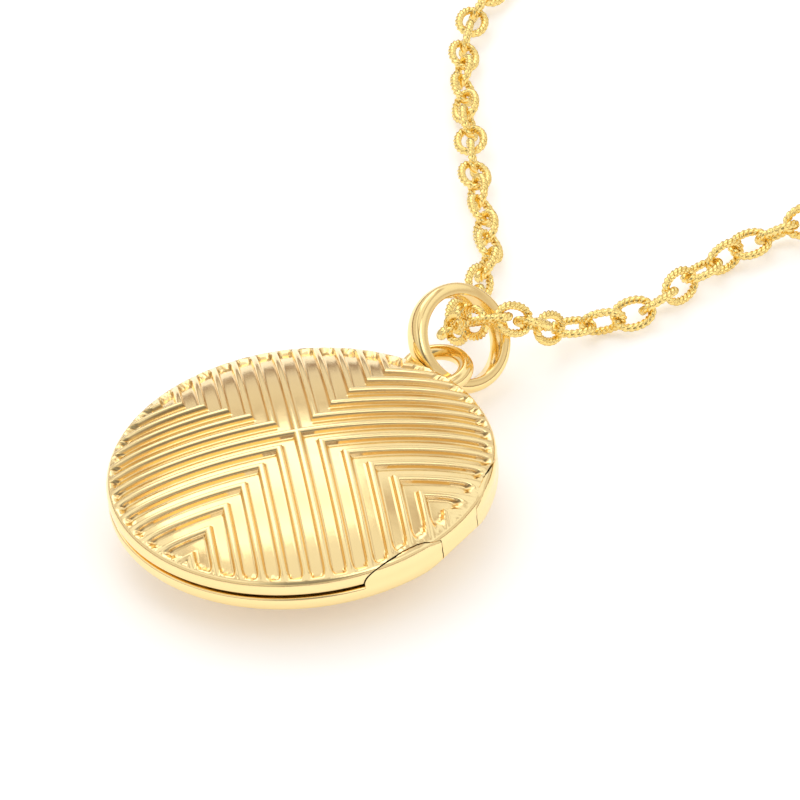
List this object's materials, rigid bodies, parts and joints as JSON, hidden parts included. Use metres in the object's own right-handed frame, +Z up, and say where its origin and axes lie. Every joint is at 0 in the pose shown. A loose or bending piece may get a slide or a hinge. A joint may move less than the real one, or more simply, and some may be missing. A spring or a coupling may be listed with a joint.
{
  "type": "locket necklace",
  "caption": "Round double-domed locket with chevron ridges, hinged to open, hanging by a soldered loop and a band ring on a cable chain with a lobster clasp.",
  "frame": {"origin": "on the table, under the middle of the locket and its bail ring", "axes": "+Z up from the table on which the closed locket lies on its back, +Y from the locket towards its bail and chain, +X towards the hinge"},
  "size_m": [0.0483, 0.0746, 0.0059],
  "materials": {
    "polished_gold": "polished",
    "gold_wire": "polished",
    "spring_steel": "satin",
    "paper_band": "matte"
  },
  "bodies": {
    "necklace": {"chain_strand_left": "gold_wire", "chain_strand_right": "gold_wire", "chain_coil": "gold_wire", "chain_end_left": "gold_wire", "chain_end_right": "gold_wire", "coil_tie": "paper_band", "clasp_body": "polished_gold", "clasp_rivet": "polished_gold", "clasp_spring": "spring_steel", "clasp_ring": "gold_wire", "end_ring": "polished_gold"},
    "bail": {"bail_ring": "polished_gold"},
    "locket": {"back_shell": "polished_gold", "bail_loop": "polished_gold", "hinge_pin": "polished_gold", "back_photo_frame": "polished_gold"},
    "cover": {"front_shell": "polished_gold", "front_photo_frame": "polished_gold"},
    "lever": {"clasp_lever": "polished_gold"}
  },
  "joints": [
    {"name": "ring_turn", "type": "hinge", "parent": "necklace", "child": "bail", "pos_m": [0.00025, 0.01027, 0.00306], "axis": [-0.7939, 0.147, -0.59], "range_deg": [0, 70]},
    {"name": "locket_swing", "type": "hinge", "parent": "bail", "child": "locket", "pos_m": [0.00027, 0.00787, 0.00243], "axis": [-0.6083, -0.2061, 0.7664], "range_deg": [0, 60]},
    {"name": "cover_hinge", "type": "hinge", "parent": "locket", "child": "cover", "pos_m": [0.0091, -0.00322, 0.00295], "axis": [0, 1, 0], "range_deg": [0, 105]},
    {"name": "clasp_lever_pivot", "type": "hinge", "parent": "necklace", "child": "lever", "pos_m": [0.01447, 0.04646, 0.00105], "axis": [0, 0, 1], "range_deg": [0, 35], "stiffness_Nm_per_rad": 0.0002, "springref_deg": -11.46}
  ]
}
